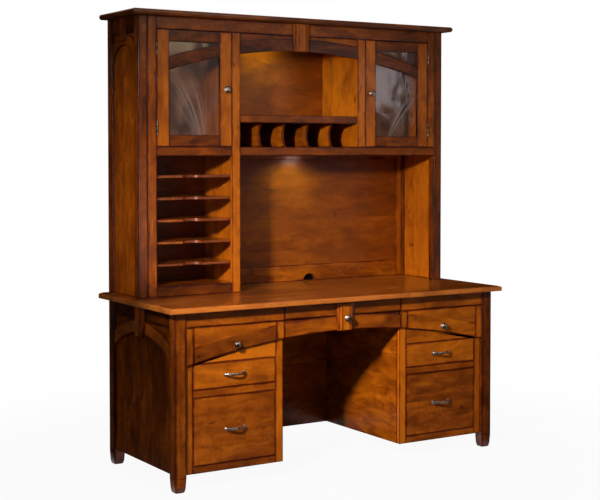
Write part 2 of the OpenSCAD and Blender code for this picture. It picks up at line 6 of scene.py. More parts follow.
import bmesh
import bpy
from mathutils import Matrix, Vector


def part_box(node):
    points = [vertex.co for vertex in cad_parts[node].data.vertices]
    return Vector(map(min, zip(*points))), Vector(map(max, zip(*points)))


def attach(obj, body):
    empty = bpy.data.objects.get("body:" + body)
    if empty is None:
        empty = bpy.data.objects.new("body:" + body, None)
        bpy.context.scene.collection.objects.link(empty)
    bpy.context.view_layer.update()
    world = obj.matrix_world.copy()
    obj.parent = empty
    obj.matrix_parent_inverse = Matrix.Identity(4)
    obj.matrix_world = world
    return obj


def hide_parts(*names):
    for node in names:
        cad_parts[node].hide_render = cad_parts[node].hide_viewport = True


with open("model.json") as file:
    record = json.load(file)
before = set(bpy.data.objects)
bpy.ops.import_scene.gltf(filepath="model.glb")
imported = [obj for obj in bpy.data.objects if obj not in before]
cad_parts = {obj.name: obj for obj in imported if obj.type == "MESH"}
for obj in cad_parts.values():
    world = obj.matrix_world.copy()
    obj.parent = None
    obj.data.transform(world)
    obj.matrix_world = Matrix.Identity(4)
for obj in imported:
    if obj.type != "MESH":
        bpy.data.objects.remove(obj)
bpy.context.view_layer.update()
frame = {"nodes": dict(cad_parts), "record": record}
rng = random.Random(7)       # draws each board's shift and tone, in the order of the calls

MM = 0.001
AXES = {"x": 0, "y": 1, "z": 2}
# the material slot and the body of each CAD node
SLOT = {s["node"]: s["material_slot"] for s in frame["record"]["subparts"]}
BODY = {n: b for b, members in frame["record"]["behaviour"]["bodies"].items() for n in members}


def srgb(r, g, b):
    """A colour given as 0 to 255 in sRGB, as linear values with alpha."""
    def lin(v):
        v /= 255
        return v / 12.92 if v <= 0.04045 else ((v + 0.055) / 1.055) ** 2.4
    return (lin(r), lin(g), lin(b), 1.0)


class Graph:
    """Builds a shader node tree from nested calls. An input is a value or another node's output."""

    def __init__(self, name, world=False):
        """The tree of a new material, or of a new world."""
        self.owner = (bpy.data.worlds if world else bpy.data.materials).new(name)
        self.output = "OutputWorld" if world else "OutputMaterial"
        self.owner.use_nodes = True
        self.tree = self.owner.node_tree
        self.tree.nodes.clear()

    def node(self, kind, inputs=None, **props):
        """A new node with its inputs and properties set."""
        n = self.tree.nodes.new("ShaderNode" + kind)
        for k, v in props.items():
            setattr(n, k, v)
        for k, v in (inputs or {}).items():
            self.put(n.inputs[k], v)
        return n

    def put(self, socket, value):
        """Links or sets an input."""
        if isinstance(value, bpy.types.NodeSocket):
            self.tree.links.new(value, socket)
        else:
            socket.default_value = value

    def math(self, op, a, b=0.0, c=0.0):
        return self.node("Math", {0: a, 1: b, 2: c}, operation=op).outputs[0]

    def vec(self, op, a, b=(0, 0, 0)):
        return self.node("VectorMath", {0: a, 1: b}, operation=op).outputs[0]

    def attribute(self, name, out="Vector"):
        return self.node("Attribute", attribute_name=name).outputs[out]

    def here(self):
        """The shaded point in its object's axes."""
        return self.node("TexCoord").outputs["Object"]

    def split(self, v):
        """The three numbers of a vector."""
        return self.node("SeparateXYZ", {0: v}).outputs

    def noise(self, v, scale, detail, rough=0.55, bend=0.0):
        """Noise on the vector v stretched by scale, a number for each axis."""
        n = self.node("TexNoise", {"Vector": self.vec("MULTIPLY", v, scale), "Scale": 1.0,
                                   "Detail": detail, "Roughness": rough, "Distortion": bend})
        return n.outputs["Fac"]

    def range(self, v, a, b, lo=0.0, hi=1.0, smooth=True):
        """Goes from lo to hi while v goes from a to b."""
        kind = "SMOOTHSTEP" if smooth else "LINEAR"
        return self.node("MapRange", {"Value": v, "From Min": a, "From Max": b, "To Min": lo,
                                      "To Max": hi}, interpolation_type=kind).outputs[0]

    def tinted(self, colour, tint):
        """Product of two colours, which are inputs 6 and 7 of the Mix node."""
        return self.node("Mix", {0: 1.0, 6: colour, 7: tint}, data_type="RGBA",
                         blend_type="MULTIPLY").outputs[2]

    def ramp(self, f, stops):
        """Colour ramp through (position, colour) stops."""
        n = self.node("ValToRGB", {"Fac": f})
        e = n.color_ramp.elements
        while len(e) < len(stops):
            e.new(0.5)
        for item, (pos, colour) in zip(e, stops):
            item.position = pos
            item.color = colour
        return n.outputs["Color"]

    def bump(self, height, distance, strength):
        return self.node("Bump", {"Height": height, "Distance": distance,
                                  "Strength": strength}).outputs[0]

    def shader(self, kind, inputs=None):
        return self.node(kind, inputs).outputs[0]

    def blend(self, share, a, b):
        """Shader a with that share of shader b."""
        return self.node("MixShader", {0: share, 1: a, 2: b}).outputs[0]

    def finish(self, shader):
        """Ends the tree in a shader and gives the material or world."""
        self.tree.links.new(shader, self.node(self.output).inputs["Surface"])
        return self.owner


# Materials
def planks(g, grain, tone, across, width):
    """Grain and tone of a board that is glued up from planks of that width."""
    strip = g.math("FLOOR", g.math("DIVIDE", across, width))
    seed = g.math("ADD", strip, g.math("MULTIPLY", tone, 37.0))
    pick = g.node("TexWhiteNoise", {"W": seed}, noise_dimensions="1D").outputs["Value"]
    shift = g.node("CombineXYZ", {0: pick, 1: g.math("MULTIPLY", pick, 3.0), 2: pick}).outputs[0]
    own_tone = g.math("MULTIPLY_ADD", pick, 0.6, g.math("MULTIPLY", tone, 0.4))
    return g.vec("ADD", grain, shift), own_tone


def maple(g, grain, tone, stain):
    """Figure of stained maple, which is lighter where it is higher, its blotches, its relief."""
    # scales are features in a metre along the grain and across it
    cloud = g.noise(grain, (3.2, 9, 9), 2, 0.5, 0.5)
    blotch = g.noise(grain, (9, 24, 24), 4, 0.55, 0.9)
    streak = g.noise(grain, (2.4, 60, 60), 2, 0.5, 0.2)
    pores = g.noise(grain, (22, 900, 900), 2)
    curl = g.noise(grain, (52, 20, 20), 2, 0.5, 1.2)
    knot = g.range(g.noise(grain, (12, 18, 18), 1, 0.5, 0.7), 0.72, 0.8)
    curly = g.math("MULTIPLY", g.math("SUBTRACT", curl, 0.5), g.range(cloud, 0.45, 0.62, 0.02, 0.2))
    figure = g.math("MULTIPLY", cloud, 0.45)
    for layer, share in ((blotch, 0.5), (streak, 0.1), (curly, 1.0), (pores, 0.03), (tone, 0.16),
                         (knot, -0.2), (stain, 0.34)):
        figure = g.math("MULTIPLY_ADD", layer, share, figure)
    return figure, blotch, g.math("MULTIPLY_ADD", pores, 0.6, streak)


def wood(name, tones, rough, level=0.3, plank=0.0, edge=0.35, coat=(0.3, 0.2), painted_edge_highlight=0.0):
    """Stained maple in a dark, a middle and a light tone. Each board brings its own grain axes,
    size, tone and stain as attributes. plank is the width of the planks in a wide board, edge is
    how bright the dark glazing, partly painted joint shade, leaves the board's edges, coat is how
    strong and how rough the varnish is, and border is the painted highlight that makes the board's
    outermost millimetres lighter."""
    g = Graph(name)
    grain, local, half = [g.attribute(n) for n in ("grain", "local", "half")]
    tone, stain, room = [g.attribute(n, "Fac") for n in ("tone", "stain", "room")]
    if plank:
        across = g.split(g.vec("ADD", local, half))[1]
        grain, tone = planks(g, grain, tone, across, plank)
    figure, blotch, height = maple(g, grain, tone, stain)
    # painted highlight: the board's outermost millimetres are made lighter
    if painted_edge_highlight:
        inward = g.split(g.vec("SUBTRACT", half, g.vec("ABSOLUTE", local)))
        inset = g.math("MINIMUM", inward[0], inward[1])
        figure = g.math("ADD", figure, g.range(inset, 3 * MM, 12 * MM, painted_edge_highlight, 0.0))
    # rubbed glazing that stays dark along the edges of each board, with painted shade in the joints
    glazing_reach = g.math("MULTIPLY_ADD", g.math("SUBTRACT", blotch, 0.5), 8 * MM, room)
    shade = g.range(glazing_reach, -0.5 * MM, 5.5 * MM, edge, 1.0)
    glazing_and_joint_shade = g.node("CombineColor", {0: shade, 1: g.math("POWER", shade, 1.5), 2: shade}).outputs[0]
    colour = g.ramp(figure, list(zip((0.51, 0.74, 1.0), tones)))
    return g.finish(g.shader("BsdfPrincipled", {
        "Base Color": g.tinted(colour, glazing_and_joint_shade),
        "Roughness": g.math("MULTIPLY_ADD", blotch, 0.12, rough - 0.06),
        "Specular IOR Level": level, "Coat Weight": coat[0], "Coat Roughness": coat[1],
        "Normal": g.bump(height, 0.3 * MM, 0.25)}))


def metal(name, base, dark, rough):
    """Aged brushed metal, dark where it was not rubbed."""
    g = Graph(name)
    here = g.here()
    cloud = g.noise(here, (70, 70, 70), 3, 0.5)
    brush = g.noise(here, (60, 900, 900), 3)
    return g.finish(g.shader("BsdfPrincipled", {
        "Base Color": g.ramp(cloud, [(0.4, dark), (0.55, base)]), "Metallic": 1.0,
        "Roughness": g.math("MULTIPLY_ADD", brush, 0.1, rough - 0.05),
        "Normal": g.bump(brush, 0.1 * MM, 0.2)}))


def painted_streak_fan(g, axes, foot, bend, middle, close, fade):
    """Painted light streaks that stand in for reflections in the glass: fine lines that fan out
    upwards from a foot (x, z). middle is the fan's middle angle from upright in radians, bend how
    much the lines curve, close how close they are, and over the heights in fade they fade out."""
    side = g.math("SUBTRACT", axes[0], foot[0])
    up = g.math("SUBTRACT", axes[2], foot[1])
    bent = g.math("MULTIPLY_ADD", g.math("MULTIPLY", up, up), bend, side)
    angle = g.math("ARCTAN2", bent, up)
    comb = g.node("TexNoise", {"W": g.math("MULTIPLY", angle, close), "Scale": 1.0, "Detail": 1.0},
                  noise_dimensions="1D").outputs["Fac"]
    line = g.range(g.math("ABSOLUTE", g.math("SUBTRACT", comb, 0.5)), 0.0, 0.016, 1.0, 0.0)
    off = g.math("ABSOLUTE", g.math("SUBTRACT", angle, middle))
    spread = g.range(off, 0.16, 0.42, 1.0, 0.0)
    return g.math("MULTIPLY", line, g.math("MULTIPLY", g.range(up, *fade, 1.0, 0.0), spread))


def glass(name, film_end, strength, **fan):
    """Wavy pane with a faint brown film, which also paints in a warm reflection and thins out
    between the two x in film_end, and with painted light streaks of that strength."""
    g = Graph(name)
    here = g.here()
    axes = g.split(here)
    ripple = g.noise(here, (26, 26, 20), 2, 0.5, 1.5)
    wave = g.math("MULTIPLY_ADD", ripple, 0.09, g.noise(here, (6, 6, 5), 1, 0.4, 1.2))
    normal = g.bump(wave, 5 * MM, 0.5)
    film = g.range(g.noise(here, (7, 7, 5), 3, 0.55, 1.0), 0.35, 0.7, 0.03, 0.15)
    film = g.math("MULTIPLY", film, g.range(axes[0], *film_end, 1.0, 0.15))
    clear = g.shader("BsdfTransparent", {"Color": (0.97, 0.95, 0.93, 1)})
    # brown film, which also paints in a warm reflection
    haze_and_reflection = g.shader("BsdfDiffuse", {"Color": (0.72, 0.36, 0.22, 1)})
    white = g.shader("BsdfDiffuse", {"Color": (0.8, 0.68, 0.6, 1)})
    # painted reflection: white streaks of diffuse colour laid over the pane
    lines = g.math("MULTIPLY", painted_streak_fan(g, axes, **fan), strength)
    body = g.blend(lines, g.blend(film, clear, haze_and_reflection), white)
    shine = g.shader("BsdfGlossy", {"Color": (1, 1, 1, 1), "Roughness": 0.08, "Normal": normal})
    # Schlick's share of reflected light, the same from both sides, so that light passes through
    facing = g.node("LayerWeight", {"Blend": 0.5, "Normal": normal}).outputs["Facing"]
    share = g.math("MULTIPLY_ADD", g.math("POWER", facing, 5.0), 0.96, 0.04)
    return g.finish(g.blend(share, body, shine))


def lens(name):
    """Warm frosted lens of a puck light."""
    g = Graph(name)
    grain = g.noise(g.here(), (300, 300, 300), 2)
    glow = g.ramp(grain, [(0.3, srgb(255, 214, 150)), (0.7, srgb(255, 236, 200))])
    return g.finish(g.shader("BsdfPrincipled", {
        "Base Color": glow, "Roughness": 0.5, "Emission Color": glow, "Emission Strength": 6.0}))


def enamel(name):
    """White enamel with a faint grain."""
    g = Graph(name)
    speck = g.noise(g.here(), (400, 400, 400), 2)
    colour = g.ramp(speck, [(0.3, srgb(205, 202, 194)), (0.7, srgb(222, 220, 212))])
    return g.finish(g.shader("BsdfPrincipled", {
        "Base Color": colour, "Roughness": 0.45, "Normal": g.bump(speck, 0.1 * MM, 0.3)}))


RED_MAPLE = (srgb(64, 24, 3), srgb(136, 63, 6), srgb(204, 108, 14))
TOP_MAPLE = (srgb(88, 36, 8), srgb(140, 68, 17), srgb(206, 116, 44))
BACK_MAPLE = (srgb(98, 42, 4), srgb(136, 63, 6), srgb(176, 90, 12))
CROWN_MAPLE = (srgb(56, 26, 10), srgb(112, 56, 20), srgb(176, 98, 38))
PALE_MAPLE = (srgb(160, 112, 66), srgb(196, 150, 98), srgb(220, 180, 130))

CASE = wood("stained_maple", RED_MAPLE, rough=0.42, level=0.12, plank=0.15)
TOP = wood("top_maple", TOP_MAPLE, rough=0.34, level=0.16, plank=0.13, edge=0.95,
           coat=(0.5, 0.13), painted_edge_highlight=0.25)
BACK = wood("back_maple", BACK_MAPLE, rough=0.42, level=0.12, plank=0.15, edge=0.5,
            coat=(0.45, 0.34))
SHELF = wood("shelf_maple", RED_MAPLE, rough=0.42, level=0.12, plank=0.15, edge=0.6,
             coat=(1.0, 0.16))
CROWN = wood("crown_maple", CROWN_MAPLE, rough=0.36, level=0.14, plank=0.13, edge=0.95,
             coat=(0.4, 0.16))
VENEER = wood("veneer_maple", RED_MAPLE, rough=0.42, level=0.05, coat=(0.1, 0.2))
BOX = wood("box_maple", PALE_MAPLE, rough=0.5, plank=0.12, edge=0.9)
NICKEL = metal("aged_nickel", base=srgb(218, 196, 182), dark=srgb(100, 82, 70), rough=0.32)
STEEL = metal("hinge_steel", base=srgb(120, 104, 92), dark=srgb(52, 42, 36), rough=0.36)
RIGHT_PANE = glass("wavy_glass", film_end=(0.585, 0.615), strength=0.5, foot=(0.49, 1.42),
                   bend=-1.2, middle=0.3, close=14.0, fade=(0.1, 0.34))
LEFT_PANE = glass("glass_with_painted_streaks", film_end=(-0.52, -0.47), strength=0.4, foot=(-0.5, 1.38),
                  bend=0.9, middle=-0.1, close=34.0, fade=(0.16, 0.37))
LENS = lens("puck_lens")
SHELL = enamel("puck_enamel")

# the wood of each slot, and of the nodes that differ from their slot
SLOT_WOOD = {"stained_wood": CASE, "desktop_wood": TOP, "box_wood": BOX}
NODE_WOOD = {"hutch_back": BACK, "cubby_shelves": SHELF, "inner_sides": VENEER,
             "side_panels": VENEER, "crown": CROWN}


# Meshes
FLAT = math.radians(0.3)     # faces that meet at less than this are one flat face
WELD = 0.01 * MM             # corners that are closer than this are one
SNAP = 0.005 * MM            # corners this close to a saw cut lie in it
TOUCH = 0.001 * MM           # and the saw leaves edges whole that end this close to it


def islands(bm):
    """The mesh's separate solids, each as a list of vertices."""
    left = set(bm.verts)
    out = []
    while left:
        stack = [left.pop()]
        part = list(stack)
        while stack:
            for e in stack.pop().link_edges:
                for v in e.verts:
                    if v in left:
                        left.remove(v)
                        stack.append(v)
                        part.append(v)
        out.append(part)
    return out


def mesh_of(node):
    """A clean copy of a CAD node's mesh, its flat faces joined up again."""
    bm = bmesh.new()
    bm.from_mesh(frame["nodes"][node].data)
    bmesh.ops.remove_doubles(bm, verts=bm.verts, dist=WELD)
    bmesh.ops.dissolve_limit(bm, angle_limit=FLAT, verts=bm.verts, edges=bm.edges)
    return bm


def extent(part):
    """Lowest and highest corner of a list of vertices."""
    return (Vector([min(v.co[i] for v in part) for i in range(3)]),
            Vector([max(v.co[i] for v in part) for i in range(3)]))


def place_of(part):
    """Middle of a list of vertices, rounded to whole millimetres, to sort boards by."""
    lo, hi = extent(part)
    return tuple(round((a + b) / 2, 3) for a, b in zip(lo, hi))


def solids_of(node):
    """Lowest and highest corner of each solid in a CAD node."""
    bm = mesh_of(node)
    boxes = [extent(part) for part in islands(bm)]
    bm.free()
    return sorted(boxes, key=lambda b: tuple(b[0]))


def nodes_ending(word):
    """The CAD nodes whose names end in a word."""
    return [node for node in SLOT if node.endswith(word)]


def merge(target, other, offset=(0, 0, 0)):
    """Adds bmesh other, moved by offset, to bmesh target."""
    bmesh.ops.translate(other, vec=offset, verts=other.verts)
    scratch = bpy.data.meshes.new("scratch")
    other.to_mesh(scratch)
    other.free()
    target.from_mesh(scratch)
    bpy.data.meshes.remove(scratch)


def link(name, data):
    """A new object of the scene for a mesh, lamp or camera."""
    obj = bpy.data.objects.new(name, data)
    bpy.context.scene.collection.objects.link(obj)
    return obj


def to_object(bm, name, material, angle=32):
    """Object of a bmesh, shaded smooth but for edges sharper than angle."""
    mesh = bpy.data.meshes.new(name)
    for f in bm.faces:
        f.smooth = True
    bm.normal_update()
    bm.to_mesh(mesh)
    bm.free()
    mesh.set_sharp_from_angle(angle=math.radians(angle))
    mesh.materials.append(material)
    return link(name, mesh)


def place(obj, node, weighted=True):
    """The piece stands for the CAD node: it joins the node's body, and the node is hidden. A
    weighted one is shaded flat where its faces are flat."""
    if weighted:
        m = obj.modifiers.new("normals", "WEIGHTED_NORMAL")
        m.keep_sharp = True
    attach(obj, BODY[node])
    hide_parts(node)


# Boards
RIM = 7 * MM                 # how far in from its edges the glazing and painted joint shade may darken a board
RIM_SHARE = 0.4              # and the most that it takes of a face's width
NARROW = 4 * MM              # faces narrower than this get no rim
CORNER = math.radians(24)    # edges sharper than this are eased
SHIFT = 9                    # how far a board's grain is moved at random, either way


def half_cut(bm, axis, value, low):
    """The part of the solids that is below or above a plane, closed where they were sawn."""
    normal = Vector((0, 0, 0))
    normal[axis] = 1

    def on_plane(item):
        return all(abs(v.co[axis] - value) < SNAP for v in item.verts)

    part = bm.copy()
    bmesh.ops.bisect_plane(part, geom=part.verts[:] + part.edges[:] + part.faces[:],
                           plane_co=normal * value, plane_no=normal, dist=TOUCH,
                           clear_outer=low, clear_inner=not low)
    # faces in the plane whose wood is on the other side of it stay with that side
    away = -1 if low else 1
    lost = [f for f in part.faces if on_plane(f) and f.normal[axis] * away > 0.5]
    bmesh.ops.delete(part, geom=lost, context="FACES")
    loose = [v for v in part.verts if not v.link_faces]
    bmesh.ops.delete(part, geom=loose, context="VERTS")
    open_edges = [e for e in part.edges if len(e.link_faces) == 1 and on_plane(e)]
    bmesh.ops.holes_fill(part, edges=open_edges, sides=0)
    return part


def cut(bm, axis, value):
    """Saws the solids in two at a plane, so each board can have its own grain."""
    done = bmesh.new()
    for low in (True, False):
        merge(done, half_cut(bm, axis, value, low))
    bm.free()
    bmesh.ops.dissolve_limit(done, angle_limit=FLAT, verts=done.verts, edges=done.edges)
    return done


def rim(bm):
    """Rings of narrow faces along the edges, and the distance from the edge as an attribute."""
    room = bm.verts.layers.float.new("room")
    for f in bm.faces[:]:
        width = 2 * f.calc_area() / f.calc_perimeter()
        if width < NARROW:
            continue
        depth = min(RIM, RIM_SHARE * width)
        bmesh.ops.inset_individual(bm, faces=[f], thickness=depth, use_even_offset=True)
        for v in f.verts:
            v[room] = depth


def paint(bm, grain, stain):
    """Gives every solid its grain, the way from its middle, its half size, both along the grain's
    own axes, its tone and its stain as vertex attributes."""
    layers = bm.verts.layers
    grain_field, local_field, half_field = [layers.float_vector.new(n)
                                            for n in ("grain", "local", "half")]
    tone_field, stain_field = [layers.float.new(n) for n in ("tone", "stain")]
    parts = sorted(islands(bm), key=place_of)
    stains = stain if isinstance(stain, tuple) else (stain,) * len(parts)
    assert len(stains) == len(parts), (len(stains), [place_of(p) for p in parts])
    for part, part_stain in zip(parts, stains):
        lo, hi = extent(part)
        size = hi - lo
        mid = (lo + hi) / 2
        # those axes: along the grain first, then the wider and the narrower way across it
        order = sorted(range(3), key=lambda i: -size[i])
        if grain:
            order.remove(AXES[grain])
            order.insert(0, AXES[grain])
        shift = Vector([rng.uniform(-SHIFT, SHIFT) for _ in range(3)])
        tone = rng.random()
        for v in part:
            v[grain_field] = Vector([v.co[i] for i in order]) + shift
            v[local_field] = Vector([v.co[i] - mid[i] for i in order])
            v[half_field] = Vector([size[i] / 2 for i in order])
            v[tone_field] = tone
            v[stain_field] = part_stain


def finish_wood(bm, node, grain, bevel, stain, glued=lambda v: False):
    """Eases the boards' edges, paints them and puts them in the node's place. A vertex that is
    glued lies on the joint with the next board, where the edges stay sharp and undarkened."""
    edges = [e for e in bm.edges if len(e.link_faces) == 2 and not all(glued(v) for v in e.verts)
             and e.calc_face_angle(0) > CORNER]
    if bevel:
        bmesh.ops.bevel(bm, geom=edges, offset=bevel * MM, offset_type="OFFSET",
                        segments=2, profile=0.5, affect="EDGES", clamp_overlap=True)
    bmesh.ops.recalc_face_normals(bm, faces=bm.faces)
    rim(bm)
    room = bm.verts.layers.float["room"]
    for v in bm.verts:
        if glued(v):
            v[room] = RIM
    paint(bm, grain, stain)
    material = NODE_WOOD.get(node, SLOT_WOOD[SLOT[node]])
    place(to_object(bm, node + "_piece", material), node)


def dress(node, grain, bevel, stain, cuts=()):
    """A CAD node's boards with eased edges, their own grain, and their joints sawn at cuts."""
    bm = mesh_of(node)
    for axis, value in cuts:
        bm = cut(bm, AXES[axis], value)
    finish_wood(bm, node, grain, bevel, stain)


def prism(bm, outline, y0, y1):
    """Solid between y0 and y1 over a list of (x, z) points."""
    front = [bm.verts.new((x, y0, z)) for x, z in outline]
    back = [bm.verts.new((x, y1, z)) for x, z in outline]
    bm.faces.new(front)
    bm.faces.new(back[::-1])
    for i in range(len(outline)):
        j = (i + 1) % len(outline)
        bm.faces.new((front[i], back[i], back[j], front[j]))


# a node's grain axis, or None for each board's longest side; its edge radius in mm; and its stain
# from dark, about 0, to bright, about 1, which is one for all its boards or one for each in order
# from left to right, front to back and bottom to top
# the stains are partly painted light: rails and bars, whose grain runs across, are set darker than
# stiles, for the sheen that upright grain catches
BOARDS = {
    "desktop": ("x", 2.5, 0.5),
    "legs": ("z", 2.0, (0.18, 0.1, 0.0, 0.1)),
    "side_panels": ("z", 1.2, 0.3),
    "side_rails": ("y", 1.2, -0.2),
    "side_arches": (None, 1.5, 0.55),
    "side_keystones": ("z", 1.5, (0.45, 0.62, 0.62, 0.45)),
    "inner_sides": ("y", 1.5, 0.3),
    "pedestal_floors": ("x", 1.0, 0.4),
    "desk_back": ("x", 1.2, 0.5),
    "frame_stiles": ("z", 1.6, (0.5, 0.65, 1.1, 0.8)),
    "frame_rails": ("x", 1.6, (0.45, 0.35, 0.5, 0.9, 0.6, 0.4, 0.45, 0.8)),
    "arch_blocks": ("z", 1.5, (0.55, 0.65, 0.7, 0.7)),
    "runners": ("y", 0.8, 0.5),
    "hutch_posts": ("z", 1.8, (0.0, 0.05, 0.0, 0.1)),
    "hutch_side_panels": ("z", 1.0, (0.38, 0.75)),
    "hutch_side_rails": ("y", 1.2, 0.15),
    "hutch_side_arches": (None, 1.4, 0.25),
    "hutch_rails": ("x", 1.6, (0.0, 0.25, 0.2, 0.42)),
    "hutch_stiles": ("z", 1.6, (0.45, 0.4)),
    "divider_left": ("z", 1.6, 0.97),
    "divider_right": ("z", 1.6, 1.05),
    "middle_shelf": ("x", 1.2, 0.3),
    "pigeon_shelf": ("x", 1.6, 0.3),
    "pigeon_dividers": ("y", 1.2, 0.6),
    "hutch_keystone": ("z", 1.5, 0.75),
    "center_front": ("x", 1.4, 0.48),
    "center_keystone": ("z", 1.5, 0.75),
    "crown": ("x", 0, 0.38),
    "second_left_front": ("x", 1.8, 0.75),
    "second_right_front": ("x", 1.8, 0.82),
    "file_left_front": ("x", 1.8, 0.4),
    "file_right_front": ("x", 1.8, 0.42),
    "hutch_back": ("x", 1.0, 0.38),
    "cubby_shelves": ("x", 1.4, 0.48),
}
BAY_BOARD = 32 * MM          # width of the boards at the left and right of the bay's frame
BAY_STAINS = (0.42, 0.42, 0.42, 0.85)    # left, bottom, top, right
DOOR_STILE = 58 * MM
# the door's bar and rails are set darker than its stiles: painted shade for the sheen that only
# upright grain catches
# left stile, arched bar, bottom rail, top rail, right stile
DOOR_STAINS_AND_SHEEN = {"left": (0.65, -0.2, 0.08, -0.2, 0.95), "right": (0.95, -0.1, 0.05, -0.1, 0.75)}
BAND = 62 * MM               # height of the band along the arch of a drawer front
BOX_SIDE = 12 * MM
BOX_FLOOR = 8 * MM


def valance():
    """The strip behind the valance's arched band shows above it, so it is a board of its own."""
    lo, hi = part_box("valance")
    dress("valance", "x", 1.5, (-0.05, 0.4), [("y", (lo.y + hi.y) / 2)])


def dress_frame(node, stile, bevel, stains):
    """Frame whose stiles run full height, with the rails between them sawn off at the stiles."""
    lo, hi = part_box(node)
    dress(node, None, bevel, stains, [("x", lo.x + stile), ("x", hi.x - stile)])


def arched_front(node, band_stain, board_stain):
    """Drawer front with an arched lower edge, glued up from a band along it and a board above."""
    source = mesh_of(node)
    lo, hi = extent(source.verts)
    low = sorted({(round(v.co.x, 5), round(v.co.z, 5)) for v in source.verts
                  if v.co.z < hi.z - MM})
    source.free()
    seam = [(x, round(z + BAND, 5)) for x, z in low]
    joint = set(seam)

    def glued(v):
        return (round(v.co.x, 5), round(v.co.z, 5)) in joint and lo.x < v.co.x < hi.x

    bm = bmesh.new()
    prism(bm, low + seam[::-1], lo.y, hi.y)
    prism(bm, seam + [(hi.x, hi.z), (lo.x, hi.z)], lo.y, hi.y)
    bmesh.ops.recalc_face_normals(bm, faces=bm.faces)
    finish_wood(bm, node, "x", 1.6, (band_stain, board_stain), glued)


def drawer_box(node):
    """Two sides, a front and a back let in between them, and a bottom."""
    lo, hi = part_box(node)
    dress(node, None, 0.8, 0.6, [("x", lo.x + BOX_SIDE), ("x", hi.x - BOX_SIDE),
                                 ("z", lo.z + BOX_FLOOR)])


for name, (grain, bevel, stain) in BOARDS.items():
    dress(name, grain, bevel, stain)
valance()
dress_frame("bay_frame", BAY_BOARD, 1.2, BAY_STAINS)
for side, stains in DOOR_STAINS_AND_SHEEN.items():
    dress_frame("door_" + side + "_frame", DOOR_STILE, 1.4, stains)
arched_front("top_left_front", 0.3, 0.5)
arched_front("top_right_front", 0.75, 0.75)
for name in nodes_ending("_box"):
    drawer_box(name)


# Fittings and glass
PULL_BAR = 4.5 * MM          # radius of a pull's bar
PULL_POST = 10 * MM          # height of the posts that carry it
PULL_SINK = 4 * MM           # how deep its ends are let into the posts
PIN = 4 * MM                 # radius of a hinge's barrel
TIP = 3 * MM                 # height of its turned tips
KNUCKLES = 5
LEAF = 1.2 * MM              # thickness of its leaf


def lathe(profile, steps=48, axis="y"):
    """Turned solid from (radius, height) points; height runs along -y, or along z."""
    bm = bmesh.new()
    rings = []
    for r, h in profile:
        if r == 0:
            rings.append([bm.verts.new((0, -h, 0) if axis == "y" else (0, 0, h))])
            continue
        ring = []
        for i in range(steps):
            a = 2 * math.pi * i / steps
            x, y = r * math.cos(a), r * math.sin(a)
            ring.append(bm.verts.new((x, -h, y) if axis == "y" else (x, y, h)))
        rings.append(ring)
    for a, b in zip(rings, rings[1:]):
        for i in range(steps):
            j = (i + 1) % steps
            if len(a) == 1:
                bm.faces.new((a[0], b[j], b[i]))
            elif len(b) == 1:
                bm.faces.new((a[i], a[j], b[0]))
            else:
                bm.faces.new((a[i], a[j], b[j], b[i]))
    bmesh.ops.recalc_face_normals(bm, faces=bm.faces)
    return bm


def arc(cx, cy, r, a0, a1, n):
    """Points of a circular arc in (radius, height) space, angles in degrees."""
    return [(cx + r * math.cos(math.radians(a0 + (a1 - a0) * i / n)),
             cy + r * math.sin(math.radians(a0 + (a1 - a0) * i / n))) for i in range(n + 1)]


def tube(points, radii, steps=20):
    """Round bar along the points, each with its own (width, height) radii, closed at both ends."""
    bm = bmesh.new()
    rings = []
    for i, p in enumerate(points):
        ahead = points[min(i + 1, len(points) - 1)] - points[max(i - 1, 0)]
        across = ahead.cross(Vector((0, 0, 1))).normalized()
        up = across.cross(ahead).normalized()
        w, h = radii[i]
        rings.append([bm.verts.new(p + across * w * math.cos(2 * math.pi * k / steps)
                                   + up * h * math.sin(2 * math.pi * k / steps))
                      for k in range(steps)])
    for a, b in zip(rings, rings[1:]):
        for i in range(steps):
            j = (i + 1) % steps
            bm.faces.new((a[i], a[j], b[j], b[i]))
    bm.faces.new(rings[0])
    bm.faces.new(rings[-1])
    bmesh.ops.recalc_face_normals(bm, faces=bm.faces)
    return bm


def block(centre, size, ease):
    """Box with eased edges."""
    bm = bmesh.new()
    bmesh.ops.create_cube(bm, size=1)
    bmesh.ops.scale(bm, vec=size, verts=bm.verts)
    bmesh.ops.translate(bm, vec=centre, verts=bm.verts)
    bmesh.ops.bevel(bm, geom=bm.edges[:], offset=ease, segments=1, affect="EDGES")
    return bm


def place_fitting(bm, node, material):
    """Puts a smooth piece of metal or enamel in the node's place."""
    place(to_object(bm, node + "_piece", material, 40), node, weighted=False)


def seat(node):
    """Middle of the face that a knob or a pull is screwed to the drawer or door with."""
    lo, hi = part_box(node)
    return Vector(((lo.x + hi.x) / 2, hi.y, (lo.z + hi.z) / 2))


def knob(node):
    """Turned mushroom knob: stepped base, waisted neck, domed cap with a bead at its rim."""
    lo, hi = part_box(node)
    r = (hi.x - lo.x) / 2
    tall = hi.y - lo.y
    dome = 0.36 * tall
    base = [(0, 0), (0.62 * r, 0)] + arc(0.56 * r, 0.05 * tall, 0.05 * tall, -40, 90, 5)
    neck = [(0.5 * r, 0.12 * tall)] + arc(0.62 * r, 0.33 * tall, 0.22 * r, 215, 145, 8)
    flare = [(0.62 * r, tall - dome - 0.17 * tall), (0.86 * r, tall - dome - 0.13 * tall)]
    bead = arc(0.92 * r, tall - dome - 0.04 * tall, 0.08 * r, -80, 80, 8)
    cap = [(0.9 * r * math.cos(math.radians(a)), tall - dome + dome * math.sin(math.radians(a)))
           for a in range(8, 90, 9)]
    bm = bmesh.new()
    merge(bm, lathe(base + neck + flare + bead + cap + [(0, tall)]), seat(node))
    place_fitting(bm, node, NICKEL)


